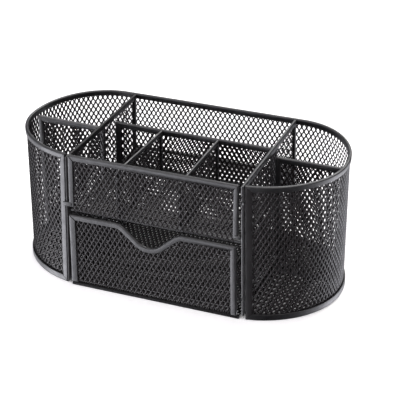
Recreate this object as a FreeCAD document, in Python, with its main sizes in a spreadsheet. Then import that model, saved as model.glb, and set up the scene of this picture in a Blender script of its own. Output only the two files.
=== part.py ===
import FreeCAD, Part
import os
import Sketcher

# Mesh desk organiser with a full-depth drawer, millimetres.
# Frame: origin under the middle of the object, on the table; +X to its right,
# +Y to its back, +Z up.  The drawer comes out along -Y.
# Plan dimensions called "depth" are counted from the line through the widest
# points of the two ends; that line lies at y = plan_shift.

V = FreeCAD.Vector
doc = FreeCAD.newDocument("PenStand")
sheet = doc.addObject("Spreadsheet::Sheet", "Dims")

CELLS = [
    # envelope
    ("half_len_top", 111.0, "half length over the top rim"),
    ("half_len_low", 111.3, "half length over the bottom rim"),
    ("height", 95.0, "table to top rim"),
    ("plan_shift", 0.45, "y of the line through the widest points"),
    ("back_depth", 54.0, "widest line to the back, outside"),
    ("front_depth_top", 52.4, "widest line to the front tangent, top"),
    ("front_depth_low", 54.2, "widest line to the front tangent, bottom"),
    ("back_arc_top", 46.1, "x half axis of the back corner curve, top"),
    ("back_arc_low", 52.0, "x half axis of the back corner curve, bottom"),
    ("front_arc_top", 61.1, "x half axis of the front corner curve, top"),
    ("front_arc_low", 59.0, "x half axis of the front corner curve, bottom"),
    # stock
    ("sheet_gauge", 0.8, "mesh sheet"),
    ("strip", 2.4, "folded edge strip, across"),
    ("wall_strip", 2.0, "folded edge strip of the cross walls, across"),
    ("strip_thin", 1.8, "folded edge strip of the small dividers, across"),
    ("hem", 0.8, "wall of a folded strip"),
    ("fold_in", 1.2, "strip edge to sheet edge"),
    ("rim_band", 3.7, "height of the top rim"),
    ("low_band", 4.5, "height of the bottom rim"),
    ("low_proud", 1.0, "bottom rim outside the mesh"),
    ("low_wall", 1.0, "inner wall of the bottom rim"),
    # upright strips on the front edges of the shell
    ("trim_in_top", 61.0, "inner side of the end trims at the top"),
    ("trim_in_low", 63.0, "inner side of the end trims at the table"),
    ("left_trim_wide", 4.1, "left end trim, along x"),
    ("right_trim_wide", 4.6, "right end trim, along x"),
    # cross walls
    ("wall_x_low", 61.7, "cross wall centre at the table"),
    ("wall_x_off", 0.2, "both cross walls stand a little to the left"),
    ("wall_lean", 1.206, "lean of the cross walls, degrees"),
    ("left_wall_x", 60.77, "left cross wall at its turning point"),
    ("left_wall_tip", 1.7013, "lean and turn of the left cross wall together, degrees"),
    ("left_wall_high", 93.5, "front top corner of the left cross wall"),
    ("wall_back", 51.1, "back edge of the cross walls"),
    ("wall_front_top", -52.2, "front edge of the cross walls, top"),
    ("wall_front_low", -54.0, "front edge of the cross walls, foot"),
    ("left_wall_foot", 2.0, "foot of the left wall's front leg over the table"),
    ("right_wall_foot", 3.2, "foot of the right wall's front leg over the table"),
    ("wall_low", 2.4, "lower edge of the cross walls"),
    ("band", 3.7, "face width of the edge strips"),
    # shelf and low partitions
    ("shelf_under", 53.6, "underside of the shelf strip"),
    ("shelf_strip", 2.0, "shelf strip, upright"),
    ("shelf_half", 59.2, "half width of the shelf"),
    ("shelf_left_back", 57.2, "left edge of the shelf at its back"),
    ("shelf_front", -51.0, "front edge of the shelf"),
    ("shelf_back", 52.3, "back edge of the shelf"),
    ("shelf_band", 3.0, "face width of the shelf strip"),
    ("part_low", 55.65, "lower edge of the partitions"),
    ("part_top", 88.5, "upper edge of the partitions"),
    ("mid_y", 17.3, "middle wall"),
    ("mid_half_top", 58.5, "right end of the middle wall, top"),
    ("mid_half_low", 59.2, "right end of the middle wall, bottom"),
    ("mid_left_top", 57.25, "left end of the middle wall, top"),
    ("mid_left_low", 57.9, "left end of the middle wall, bottom"),
    ("mid_leg", 4.3, "face width of the middle wall's end strips"),
    ("left_div_x", -24.2, "left small divider, at its middle"),
    ("left_div_turn", 2.5, "left small divider stands askew, degrees"),
    ("left_div_mid", -17.2, "middle of the left small divider, along y"),
    ("right_div_x", 17.6, "right small divider"),
    ("div_front_top", -50.2, "front edge of the small dividers, top"),
    ("div_front_low", -51.0, "front edge of the small dividers, bottom"),
    ("div_back", 16.0, "back edge of the small dividers"),
    ("div_band", 3.0, "face width of the small dividers' strips"),
    ("end_y", 6.3, "end dividers"),
    ("end_left_turn", 3.86, "left end divider stands askew, degrees"),
    ("end_left_high", 91.1, "outer top corner of the left end divider"),
    ("end_left_pivot", 59.95, "inner edge of the left end divider, top"),
    ("end_in_top", 61.2, "inner edge of the end dividers, top"),
    ("end_in_low", 63.0, "inner edge of the end dividers, bottom"),
    ("end_out_top", 109.0, "outer edge of the end dividers, top"),
    ("end_out_low", 108.0, "outer edge of the end dividers, bottom"),
    # fixed front panel
    ("panel_left_top", 58.75, "left edge of the front panel, top"),
    ("panel_left_low", 59.15, "left edge of the front panel, foot"),
    ("panel_right", 57.4, "right edge of the front panel"),
    ("panel_top", 95.2, "top of the front panel"),
    ("panel_foot", 58.5, "foot of the panel's legs"),
    ("panel_low", 55.6, "lower edge of the panel's mesh"),
    ("panel_left_leg", 3.6, "face width of the panel's left leg"),
    ("panel_right_leg", 3.3, "face width of the panel's right leg"),
    ("tab_left_end", 63.2, "end of the left foot tab"),
    ("tab_left_in", 58.0, "root of the left foot tab"),
    ("tab_right_end", 58.9, "end of the right foot tab"),
    ("tab_right_in", 55.2, "root of the right foot tab"),
    ("tab_left_tall", 3.0, "left foot tab, upright"),
    ("tab_right_tall", 2.0, "right foot tab, upright"),
    ("tab_gauge", 0.55, "thickness of the foot tabs"),
    ("tab_ahead", 0.9, "middle of the foot tabs before the panel's mid plane"),
    ("panel_mid_zero", -53.77, "mid plane of the panel carried down to the table"),
    ("panel_lean", 1.43, "lean of the panel, degrees"),
    # drawer front
    ("drawer_left", 58.25, "left edge of the drawer front, from the drawer's middle"),
    ("drawer_right_top", 57.6, "right edge of the drawer front, top"),
    ("drawer_right_low", 58.85, "right edge of the drawer front, foot"),
    ("drawer_shift", -1.2, "the drawer sits a little to the left"),
    ("drawer_top", 52.6, "top of the drawer front"),
    ("drawer_low", 2.7, "lower edge of the drawer front"),
    ("drawer_left_leg", 4.5, "face width of the drawer front's left leg"),
    ("drawer_right_leg", 3.9, "face width of the drawer front's right leg"),
    ("drawer_band", 3.5, "face width of the drawer front's top strip"),
    ("drawer_mid_zero", -53.75, "mid plane of the drawer front carried down to the table"),
    ("drawer_lean", 1.0, "lean of the drawer front, degrees"),
    ("dip_x", -1.6, "middle of the finger dip, from the drawer's middle"),
    ("dip_half", 23.5, "half width of the finger dip"),
    ("dip_deep", 13.5, "depth of the finger dip"),
    ("dip_slope", 41.0, "steepest slope of the dip, degrees"),
    ("dip_shoulder", 10.3, "radius at the dip's shoulders"),
    ("dip_bottom", 11.0, "radius at the dip's bottom"),
    # floor
    ("base_under", 1.4, "underside of the floor mesh"),
    ("base_notch_in", 59.0, "inner side of the notch for the cross wall's foot"),
    ("base_notch_out", 65.5, "outer side of the notch"),
    ("base_notch_deep", -47.5, "bottom of the notch"),
    ("rail_half", 59.0, "half length of the front rail"),
    ("rail_front", -54.9, "front face of the front rail at its left end"),
    ("rail_turn", 0.34, "the front rail runs back to the right, degrees"),
    ("rail_edge", -52.0, "front edge of the floor mesh at its right end"),
    ("rail_edge_left", -52.7, "front edge of the floor mesh at its left end"),
    ("rail_deep", 2.2, "front rail, along y"),
    ("rail_tall", 2.2, "front rail, upright"),
    # drawer tray
    ("tray_under", 2.6, "underside of the tray's floor"),
    ("tray_half", 55.9, "outside of the tray's side sheets, from the drawer's middle"),
    ("tray_front", -51.88, "front edge of the tray's sides"),
    ("tray_floor_front", -52.48, "front edge of the tray's floor"),
    ("tray_back", 46.0, "outside of the tray's back sheet"),
    ("tray_top", 36.8, "upper edge of the tray's sheets"),
    ("tray_rim_strip", 2.0, "tray rim, across"),
    ("tray_rim_band", 3.0, "tray rim, upright"),
    ("tray_rim_lap", 2.2, "tray rim down over the sheets"),
]
for i, (name, value, note) in enumerate(CELLS):
    sheet.set("A%d" % (i + 1), note)
    sheet.set("B%d" % (i + 1), "%g" % value)
    sheet.setAlias("B%d" % (i + 1), name)
doc.recompute()


class Size:
    """A number from the sheet together with the expression that gives it."""

    def __init__(self, value, text):
        self.value = float(value)
        self.text = text

    def __add__(self, other):
        other = size(other)
        return Size(self.value + other.value, "(%s + %s)" % (self.text, other.text))

    def __sub__(self, other):
        other = size(other)
        return Size(self.value - other.value, "(%s - %s)" % (self.text, other.text))

    def __mul__(self, other):
        other = size(other)
        return Size(self.value * other.value, "(%s * %s)" % (self.text, other.text))

    def __truediv__(self, other):
        other = size(other)
        return Size(self.value / other.value, "(%s / %s)" % (self.text, other.text))

    def __neg__(self):
        return Size(-self.value, "(0 - %s)" % self.text)


def size(v):
    return v if isinstance(v, Size) else Size(v, "(%.6f)" % v if v < 0 else "%.6f" % v)


def cell(name):
    return Size(float(sheet.get(name)), "Dims." + name)


class Dims:
    pass


d = Dims()
for name, value, note in CELLS:
    setattr(d, name, cell(name))


# ---------------------------------------------------------------- sketch work
def plane_of(body, role):
    return [f for f in body.Origin.OriginFeatures if f.Role == role][0]


def new_body(label):
    body = doc.addObject("PartDesign::Body", label)
    body.Label = label
    return body


def closed_loops(body, name, role, loops):
    """A sketch of closed loops.  A loop is a list of corners (x, y); a corner
    may carry (radius, centre_x, centre_y, turn), which makes the edge that
    starts there an arc.  Each corner and each radius is bound to the sheet."""
    sk = body.newObject("Sketcher::SketchObject", name)
    sk.AttachmentSupport = [(plane_of(body, role), "")]
    sk.MapMode = "FlatFace"
    binds = []
    for k, loop in enumerate(loops):
        n = len(loop)
        ids = []
        for i in range(n):
            a = loop[i]
            b = loop[(i + 1) % n]
            pa = V(size(a[0]).value, size(a[1]).value, 0)
            pb = V(size(b[0]).value, size(b[1]).value, 0)
            if len(a) == 2:
                ids.append((sk.addGeometry(Part.LineSegment(pa, pb), False), 1, 2))
                continue
            radius, cx, cy, turn = a[2]
            centre = V(size(cx).value, size(cy).value, 0)
            circle = Part.Circle(centre, V(0, 0, 1), size(radius).value)
            ua = circle.parameter(pa)
            ub = circle.parameter(pb)
            if turn > 0:
                g = sk.addGeometry(Part.ArcOfCircle(circle, ua, ub), False)
                ids.append((g, 1, 2))
            else:
                g = sk.addGeometry(Part.ArcOfCircle(circle, ub, ua), False)
                ids.append((g, 2, 1))
            c = sk.addConstraint(Sketcher.Constraint("Radius", g, size(radius).value))
            sk.renameConstraint(c, "%s_r%d_%d" % (name, k, i))
            binds.append(("%s_r%d_%d" % (name, k, i), size(radius)))
        for i in range(n):
            g, s, e = ids[i]
            g2, s2, e2 = ids[(i + 1) % n]
            sk.addConstraint(Sketcher.Constraint("Coincident", g, e, g2, s2))
        for i in range(n):
            g, s, e = ids[i]
            for kind, q, tag in (("DistanceX", size(loop[i][0]), "x"), ("DistanceY", size(loop[i][1]), "y")):
                c = sk.addConstraint(Sketcher.Constraint(kind, -1, 1, g, s, q.value))
                label = "%s_%s%d_%d" % (name, tag, k, i)
                sk.renameConstraint(c, label)
                binds.append((label, q))
    for label, q in binds:
        sk.setExpression("Constraints." + label, q.text)
    return sk


def pad(body, name, sketch, thick):
    f = body.newObject("PartDesign::Pad", name)
    f.Profile = sketch
    f.SideType = "Symmetric"
    f.Length = size(thick).value
    f.setExpression("Length", size(thick).text)
    return f


def slot(body, name, sketch, thick):
    """Cut the sheet's place out of the middle of a strip."""
    doc.recompute()
    before = body.Shape.Volume
    f = body.newObject("PartDesign::Pocket", name)
    f.Profile = sketch
    f.SideType = "Symmetric"
    f.Length = size(thick).value
    f.setExpression("Length", size(thick).text)
    doc.recompute()
    if not body.Shape.Volume < before - 1.0:
        raise RuntimeError("the slot %s cuts nothing" % name)
    return f


def place(body, x=0.0, y=0.0, z=0.0, axis=None, lean=None):
    p = [size(v) for v in (x, y, z)]
    base = V(*[q.value for q in p])
    if axis is None:
        body.Placement = FreeCAD.Placement(base, FreeCAD.Rotation())
    else:
        body.Placement = FreeCAD.Placement(base, FreeCAD.Rotation(V(*axis), size(lean).value))
        body.setExpression("Placement.Rotation.Angle", size(lean).text)
    for tag, q in zip("xyz", p):
        body.setExpression("Placement.Base." + tag, q.text)


def framed_panel(stem, role, outer, window, inner_sheet, strip, **where):
    """One mesh panel: a sheet and the folded strip round its edges."""
    frame = new_body(stem + "_frame")
    ring = closed_loops(frame, stem + "_face", role, [outer, window] if window else [outer])
    pad(frame, stem + "_strip", ring, strip)
    cut = closed_loops(frame, stem + "_fold", role, [inner_sheet])
    slot(frame, stem + "_slot", cut, d.sheet_gauge)
    place(frame, **where)
    mesh = new_body(stem + "_mesh")
    flat = closed_loops(mesh, stem + "_blank", role, [inner_sheet])
    pad(mesh, stem + "_sheet", flat, d.sheet_gauge)
    place(mesh, **where)
    return frame, mesh


nodes = []

# ------------------------------------------------------------- cross walls
# Full-height walls between the middle and the two ends.  Their front legs stop
# short of the table, the right one a little higher than the left.  The left
# wall is welded askew: its back stands nearer the middle, its front top lower.
f = d.fold_in
for side, sgn in (("left", -1.0), ("right", 1.0)):
    left = side == "left"
    foot = d.left_wall_foot if left else d.right_wall_foot
    high = d.left_wall_high if left else d.height
    outer = [(d.wall_front_top, high), (d.wall_back, d.height), (d.wall_back, d.wall_low),
             (d.wall_front_low + d.band, d.wall_low), (d.wall_front_low + d.band, foot),
             (d.wall_front_low, foot)]
    window = [(d.wall_front_top + d.band, high - d.band), (d.wall_back - d.band, d.height - d.band),
              (d.wall_back - d.band, d.wall_low + d.band), (d.wall_front_low + d.band, d.wall_low + d.band)]
    blank = [(d.wall_front_top + f, high - f), (d.wall_back - f, d.height - f),
             (d.wall_back - f, d.wall_low + f), (d.wall_front_low + f, d.wall_low + f)]
    nodes += framed_panel(side + "_wall", "YZ_Plane", outer, window, blank, d.wall_strip,
                          x=-d.left_wall_x if left else d.wall_x_low - d.wall_x_off, y=d.plan_shift,
                          axis=(0, 1.206, -1.2) if left else (0, -1, 0),
                          lean=d.left_wall_tip if left else d.wall_lean)

# -------------------------------------------------------------- middle wall
ML, MB = -d.mid_left_top, -d.mid_left_low
outer = [(ML, d.part_top), (d.mid_half_top, d.part_top), (d.mid_half_low, d.part_low), (MB, d.part_low)]
window = [(ML + d.mid_leg, d.part_top - d.band), (d.mid_half_top - d.mid_leg, d.part_top - d.band),
          (d.mid_half_low - d.mid_leg, d.part_low + d.div_band), (MB + d.mid_leg, d.part_low + d.div_band)]
blank = [(ML + f, d.part_top - f), (d.mid_half_top - f, d.part_top - f),
         (d.mid_half_low - f, d.part_low + f), (MB + f, d.part_low + f)]
nodes += framed_panel("middle_wall", "XZ_Plane", outer, window, blank, d.strip,
                      x=-d.wall_x_off, y=d.mid_y + d.plan_shift)

# ----------------------------------------------------------- small dividers
# The left one is welded slightly askew, its back end nearer the middle.
b = d.div_band
for side, at in (("left", d.left_div_x), ("right", d.right_div_x)):
    mid = d.left_div_mid if side == "left" else size(0.0)
    ft, fl, bk = d.div_front_top - mid, d.div_front_low - mid, d.div_back - mid
    outer = [(ft, d.part_top), (bk, d.part_top), (bk, d.part_low), (fl, d.part_low)]
    window = [(ft + b, d.part_top - b), (bk - b, d.part_top - b), (bk - b, d.part_low + b), (fl + b, d.part_low + b)]
    blank = [(ft + f, d.part_top - f), (bk - f, d.part_top - f), (bk - f, d.part_low + f), (fl + f, d.part_low + f)]
    turned = {"axis": (0, 0, -1), "lean": d.left_div_turn} if side == "left" else {}
    nodes += framed_panel(side + "_divider", "YZ_Plane", outer, window, blank, d.strip_thin,
                          x=at, y=mid + d.plan_shift, **turned)

# ------------------------------------------------------------- end dividers
# The left one is welded askew: its outer end stands nearer the front and higher.
for side, sgn in (("left", -1.0), ("right", 1.0)):
    high = d.end_left_high if side == "left" else d.part_top
    if side == "left":
        it, il = size(0.0), d.end_in_low - d.end_in_top
        ot, ol = d.end_out_top - d.end_left_pivot, d.end_out_low - d.end_left_pivot
    else:
        it, il, ot, ol = d.end_in_top, d.end_in_low, d.end_out_top, d.end_out_low
    outer = [(it * sgn, d.part_top), (ot * sgn, high), (ol * sgn, d.wall_low), (il * sgn, d.wall_low)]
    window = [((it + d.band) * sgn, d.part_top - d.band), ((ot - d.band) * sgn, high - d.band),
              ((ol - d.band) * sgn, d.wall_low + d.band), ((il + d.band) * sgn, d.wall_low + d.band)]
    blank = [((it + f) * sgn, d.part_top - f), ((ot - f) * sgn, high - f),
             ((ol - f) * sgn, d.wall_low + f), ((il + f) * sgn, d.wall_low + f)]
    turned = {"x": -d.end_left_pivot, "axis": (0, 0, 1), "lean": d.end_left_turn} if side == "left" else {}
    nodes += framed_panel(side + "_end_divider", "XZ_Plane", outer, window, blank, d.strip,
                          y=d.end_y + d.plan_shift, **turned)

# -------------------------------------------------------------------- shelf
# Floor of the middle compartments and ceiling of the drawer bay.
SL = -d.shelf_left_back
outer = [(-d.shelf_half, d.shelf_front), (d.shelf_half, d.shelf_front), (d.shelf_half, d.shelf_back), (SL, d.shelf_back)]
s = d.shelf_band
window = [(s - d.shelf_half, d.shelf_front + s), (d.shelf_half - s, d.shelf_front + s),
          (d.shelf_half - s, d.shelf_back - s), (SL + s, d.shelf_back - s)]
blank = [(f - d.shelf_half, d.shelf_front + f), (d.shelf_half - f, d.shelf_front + f),
         (d.shelf_half - f, d.shelf_back - f), (SL + f, d.shelf_back - f)]
nodes += framed_panel("shelf", "XY_Plane", outer, window, blank, d.shelf_strip,
                      y=d.plan_shift, z=d.shelf_under + d.shelf_strip / 2.0)

# -------------------------------------------------------------- front panel
# Inverted-U strip; its legs end in thin foot tabs, the left one lapped over
# the front edge of the cross wall.
LT, LL, R = -d.panel_left_top, -d.panel_left_low, d.panel_right
outer = [(LT, d.panel_top), (R, d.panel_top), (R, d.panel_foot), (R - d.panel_right_leg, d.panel_foot),
         (R - d.panel_right_leg, d.panel_top - d.band), (LT + d.panel_left_leg, d.panel_top - d.band),
         (LL + d.panel_left_leg, d.panel_foot), (LL, d.panel_foot)]
blank = [(LT + f, d.panel_top - f), (R - f, d.panel_top - f), (R - f, d.panel_low), (LL + f, d.panel_low)]
panel = framed_panel("front_panel", "XZ_Plane", outer, None, blank, d.strip,
                     y=d.panel_mid_zero + d.plan_shift, axis=(-1, 0, 0), lean=d.panel_lean)
for side, x_in, x_out, tall in (("left", -d.tab_left_in, -d.tab_left_end, d.tab_left_tall),
                                ("right", d.tab_right_in, d.tab_right_end, d.tab_right_tall)):
    loop = [(x_in, d.panel_foot), (x_out, d.panel_foot), (x_out, d.panel_foot + tall), (x_in, d.panel_foot + tall)]
    face = closed_loops(panel[0], side + "_tab_face", "XZ_Plane", [loop])
    face.AttachmentOffset = FreeCAD.Placement(V(0, 0, d.tab_ahead.value), FreeCAD.Rotation())
    face.setExpression("AttachmentOffset.Base.z", d.tab_ahead.text)
    pad(panel[0], side + "_tab", face, d.tab_gauge)
nodes += panel


# ------------------------------------------------------------- drawer front
# The top strip follows a wave: flat, down into the finger dip, and up again.
def trig(kind, q):
    import math
    q = size(q)
    value = math.sin(math.radians(q.value)) if kind == "sin" else math.cos(math.radians(q.value))
    return Size(value, "%s(%s)" % (kind, q.text))


sn, cs = trig("sin", d.dip_slope), trig("cos", d.dip_slope)


def wave(inset):
    """Corners of the wave from left to right, moved in by inset."""
    top = d.drawer_top - inset
    r1 = d.dip_shoulder - inset
    r2 = d.dip_bottom + inset
    low = d.drawer_top - d.dip_deep - inset
    out = []
    for sgn in (-1.0, 1.0):
        sx = d.dip_x + d.dip_half * sgn
        shoulder = [(sx, top), (sx - r1 * sn * sgn, top - r1 * (size(1.0) - cs))]
        foot = (d.dip_x + r2 * sn * sgn, low + r2 * (size(1.0) - cs))
        if sgn < 0:
            out += [(shoulder[0][0], shoulder[0][1], (r1, sx, top - r1, -1)), shoulder[1],
                    (foot[0], foot[1], (r2, d.dip_x, low + r2, 1))]
        else:
            out += [foot, (shoulder[1][0], shoulder[1][1], (r1, sx, top - r1, -1)), shoulder[0]]
    return out


DL, RT, RL = -d.drawer_left, d.drawer_right_top, d.drawer_right_low
GL, GR = d.drawer_left_leg, d.drawer_right_leg
outer = [(DL, d.drawer_low), (DL, d.drawer_top)] + wave(size(0.0)) + [(RT, d.drawer_top), (RL, d.drawer_low), (RL - GR, d.drawer_low)]
back = wave(d.drawer_band)


def reverse_wave(points):
    """The same wave from right to left."""
    out = []
    n = len(points)
    for i in range(n - 1, -1, -1):
        before = points[i - 1] if i > 0 else None
        if before is not None and len(before) == 3:
            r, cx, cy, turn = before[2]
            out.append((points[i][0], points[i][1], (r, cx, cy, -turn)))
        else:
            out.append((points[i][0], points[i][1]))
    return out


outer = outer + [(RT - GR, d.drawer_top - d.drawer_band)] + reverse_wave(back) + \
    [(DL + GL, d.drawer_top - d.drawer_band), (DL + GL, d.drawer_low)]
blank = [(DL + f, d.drawer_low), (DL + f, d.drawer_top - f)] + wave(f) + [(RT - f, d.drawer_top - f), (RL - f, d.drawer_low)]
nodes += framed_panel("drawer_front", "XZ_Plane", outer, None, blank, d.strip,
                      x=d.drawer_shift, y=d.drawer_mid_zero + d.plan_shift, axis=(-1, 0, 0), lean=d.drawer_lean)


# -------------------------------------------------------------- drawer tray
def plate(label, x0, x1, y0, y1, z0, z1):
    body = new_body(label)
    sk = closed_loops(body, label + "_blank", "XY_Plane", [[(x0, y0), (x1, y0), (x1, y1), (x0, y1)]])
    pad(body, label + "_sheet", sk, size(z1) - size(z0))
    place(body, x=d.drawer_shift, y=d.plan_shift, z=size(z0) + (size(z1) - size(z0)) / 2.0)
    return body


g = d.sheet_gauge
floor_top = d.tray_under + g
nodes.append(plate("drawer_floor_mesh", -d.tray_half, d.tray_half, d.tray_floor_front, d.tray_back, d.tray_under, floor_top))
nodes.append(plate("drawer_left_side_mesh", -d.tray_half, g - d.tray_half, d.tray_front, d.tray_back, floor_top, d.tray_top))
nodes.append(plate("drawer_right_side_mesh", d.tray_half - g, d.tray_half, d.tray_front, d.tray_back, floor_top, d.tray_top))
nodes.append(plate("drawer_back_mesh", g - d.tray_half, d.tray_half - g, d.tray_back - g, d.tray_back, floor_top, d.tray_top))

# Rim strip over the three upper edges of the tray.
rim = new_body("drawer_tray_rim")
o = (d.tray_rim_strip - g) / 2.0
XO, XI = d.tray_half + o, d.tray_half - g - o
YO, YI = d.tray_back + o, d.tray_back - g - o
c_loop = [(-XO, d.tray_front), (-XI, d.tray_front), (-XI, YI), (XI, YI), (XI, d.tray_front), (XO, d.tray_front), (XO, YO), (-XO, YO)]
pad(rim, "tray_rim_strip_pad", closed_loops(rim, "tray_rim_face", "XY_Plane", [c_loop]), d.tray_rim_band)
A, B, C = d.tray_half, d.tray_half - g, d.tray_back
s_loop = [(-A, d.tray_front), (-B, d.tray_front), (-B, C - g), (B, C - g), (B, d.tray_front), (A, d.tray_front), (A, C), (-A, C)]
cut = closed_loops(rim, "tray_rim_fold", "XY_Plane", [s_loop])
doc.recompute()
before = rim.Shape.Volume
groove = rim.newObject("PartDesign::Pocket", "tray_rim_slot")
groove.Profile = cut
cut.AttachmentOffset = FreeCAD.Placement(V(0, 0, -d.tray_rim_band.value / 2.0), FreeCAD.Rotation())
cut.setExpression("AttachmentOffset.Base.z", "0 - Dims.tray_rim_band / 2")
groove.Reversed = True
groove.setExpression("Length", d.tray_rim_lap.text)
doc.recompute()
if not rim.Shape.Volume < before - 100.0:
    raise RuntimeError("the tray rim's slot cuts nothing")
place(rim, x=d.drawer_shift, y=d.plan_shift, z=d.tray_top - d.tray_rim_lap + d.tray_rim_band / 2.0)
nodes.append(rim)

# --------------------------------------------------------- front floor rail
rail = doc.addObject("Part::Box", "base_front_rail")
rail.Label = "base_front_rail"
rail.setExpression("Length", "Dims.rail_half * 2")
rail.setExpression("Width", "Dims.rail_deep")
rail.setExpression("Height", "Dims.rail_tall")
rail.setExpression("Placement.Base.x", "0 - Dims.rail_half")
rail.setExpression("Placement.Base.y", "Dims.rail_front + Dims.plan_shift")
rail.Placement = FreeCAD.Placement(V(0, 0, 0), FreeCAD.Rotation(V(0, 0, 1), d.rail_turn.value))
rail.setExpression("Placement.Rotation.Angle", d.rail_turn.text)
nodes.append(rail)
doc.recompute()

# ------------------------------------------------- curved shell and its rims
# The plan is one open curve: front left, left end, back, right end, front
# right.  Each end is two quarter ellipses that meet at the widest point.
val = dict((name, float(sheet.get(name))) for name, value, note in CELLS)


def outline_at(z):
    """Plan curve at a height: half length and the two quarter ellipses."""
    w = 1.0 - z / val["height"]

    def mix(top, low):
        return val[top] * (1.0 - w) + val[low] * w
    return {
        "a": mix("half_len_top", "half_len_low"),
        "bx": mix("back_arc_top", "back_arc_low"), "by": val["back_depth"],
        "fx": mix("front_arc_top", "front_arc_low"), "fy": mix("front_depth_top", "front_depth_low"),
    }


def quarter(cx, rx, ry, from_deg, to_deg, z):
    import math
    arc = Part.ArcOfCircle(Part.Circle(V(0, 0, 0), V(0, 0, 1), 1.0), math.radians(from_deg), math.radians(to_deg)).toShape()
    m = FreeCAD.Matrix(rx, 0, 0, cx, 0, ry, 0, val["plan_shift"], 0, 0, 1, z, 0, 0, 0, 1)
    return arc.transformGeometry(m).Edges[0]


def path_edges(o, inset, ends, z):
    """Edges from the front right end round the back to the front left end."""
    import math
    c, cf = o["a"] - o["bx"], o["a"] - o["fx"]
    bx, by, fx, fy = o["bx"] - inset, o["by"] - inset, o["fx"] - inset, o["fy"] - inset
    tr = -math.degrees(math.acos(max(-1.0, min(1.0, (ends[1] - cf) / fx))))
    tl = 180.0 + math.degrees(math.acos(max(-1.0, min(1.0, (ends[0] - cf) / fx))))
    line = Part.makeLine(V(c, by + val["plan_shift"], z), V(-c, by + val["plan_shift"], z))
    return [quarter(cf, fx, fy, tr, 0.0, z), quarter(c, bx, by, 0.0, 90.0, z), line,
            quarter(-c, bx, by, 90.0, 180.0, z), quarter(-cf, fx, fy, 180.0, tl, z)]


def end_points(edges):
    w = Part.Wire(Part.__sortEdges__(edges))
    first, last = edges[0], edges[-1]
    return w, first.valueAt(first.FirstParameter), last.valueAt(last.LastParameter)


def ring_wire(z, inset_out, inset_in, ends):
    o = outline_at(z)
    out = path_edges(o, inset_out, ends, z)
    inn = path_edges(o, inset_in, ends, z)
    w1, a1, b1 = end_points(out)
    w2, a2, b2 = end_points(inn)
    return Part.Wire(Part.__sortEdges__(out + [Part.makeLine(b1, b2)] + inn + [Part.makeLine(a2, a1)]))


def trim_in(z):
    return val["trim_in_low"] + (val["trim_in_top"] - val["trim_in_low"]) * z / val["height"]


def between(z0, i0, j0, z1, i1, j1, ends0, ends1):
    return Part.makeLoft([ring_wire(z0, i0, j0, ends0), ring_wire(z1, i1, j1, ends1)], True, True)


def feature(label, shape):
    if shape.ShapeType == "Compound" and len(shape.Solids) == 1:
        shape = shape.Solids[0]
    obj = doc.addObject("Part::Feature", label)
    obj.Label = label
    obj.Shape = shape
    obj.Placement = FreeCAD.Placement(V(0, 0, 0), FreeCAD.Rotation())
    nodes.append(obj)
    return obj


H, gauge, hem, strip = val["height"], val["sheet_gauge"], val["hem"], val["strip"]
z_low, z_top = hem, H - hem
proud = val["low_proud"]


def shell_inset(z):
    """How far the sheet's outside lies in from the plan curve."""
    return proud + (hem - proud) * (z - z_low) / (z_top - z_low)


shell_ends = [(trim_in(z) + 1.0, trim_in(z) + 1.0) for z in (z_low, z_top)]
shell = between(z_low, proud, proud + gauge, z_top, hem, hem + gauge, shell_ends[0], shell_ends[1])
feature("shell_mesh", shell)


# Upright trims: the same ring, only as wide as the strip.
def trim_section(z, side):
    """Plan section of one end trim at a height, as a closed wire."""
    import math
    o = outline_at(z)
    x_in = trim_in(z)
    x_out = x_in + val[side + "_trim_wide"]
    sgn = -1.0 if side == "left" else 1.0
    cf = o["a"] - o["fx"]

    def arc(inset, xa, xb):
        fx, fy = o["fx"] - inset, o["fy"] - inset
        ta = math.degrees(math.acos((xa - cf) / fx))
        tb = math.degrees(math.acos((xb - cf) / fx))
        if sgn > 0:
            return quarter(cf, fx, fy, -ta, -tb, z)
        return quarter(-cf, fx, fy, 180.0 + tb, 180.0 + ta, z)
    e1, e2 = arc(0.0, x_in, x_out), arc(strip, x_in, x_out)

    def tips(e):
        return e.valueAt(e.FirstParameter), e.valueAt(e.LastParameter)
    a1, b1 = tips(e1)
    a2, b2 = tips(e2)
    return Part.Wire(Part.__sortEdges__([e1, Part.makeLine(b1, b2), e2, Part.makeLine(a2, a1)]))


trims = {}
for side in ("left", "right"):
    solid = Part.makeLoft([trim_section(0.0, side), trim_section(H, side)], True, True)
    trims[side] = solid
    feature(side + "_end_trim", solid.cut(shell))


# Rims: rings of the plan curve, pressed over the sheet, between the trims.
def rim_solid(z0, z1, at, thick):
    ends = tuple(trim_in(at) + val[side + "_trim_wide"] + 0.02 for side in ("left", "right"))
    face = Part.Face(ring_wire(at, 0.0, thick, ends))
    body = face.extrude(V(0, 0, z1 - z0))
    body.translate(V(0, 0, z0 - at))
    return body.cut(shell).cut(trims["left"]).cut(trims["right"])


feature("top_rim", rim_solid(H - val["rim_band"], H, H, strip))
low_thick = proud + gauge + val["low_wall"]
feature("bottom_rim", rim_solid(0.0, val["low_band"], 0.0, low_thick))

# Floor mesh inside the bottom rim, notched for the feet of the cross walls.
o = outline_at(0.0)
zb = val["base_under"]
nx = val["base_notch_out"]
edges = path_edges(o, low_thick + 0.02, (nx, nx), zb)
w, pr, pl = end_points(edges)
yf, yl = val["rail_edge"] + val["plan_shift"], val["rail_edge_left"] + val["plan_shift"]
yn = val["base_notch_deep"] + val["plan_shift"]
ni = val["base_notch_in"]
pts = [pl, V(-nx, yn, zb), V(-ni, yn, zb), V(-ni, yl, zb), V(ni, yf, zb), V(ni, yn, zb), V(nx, yn, zb), pr]
loop = Part.Wire(Part.__sortEdges__(edges + [Part.makeLine(pts[i], pts[i + 1]) for i in range(len(pts) - 1)]))
feature("base_mesh", Part.Face(loop).extrude(V(0, 0, gauge)))

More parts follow.
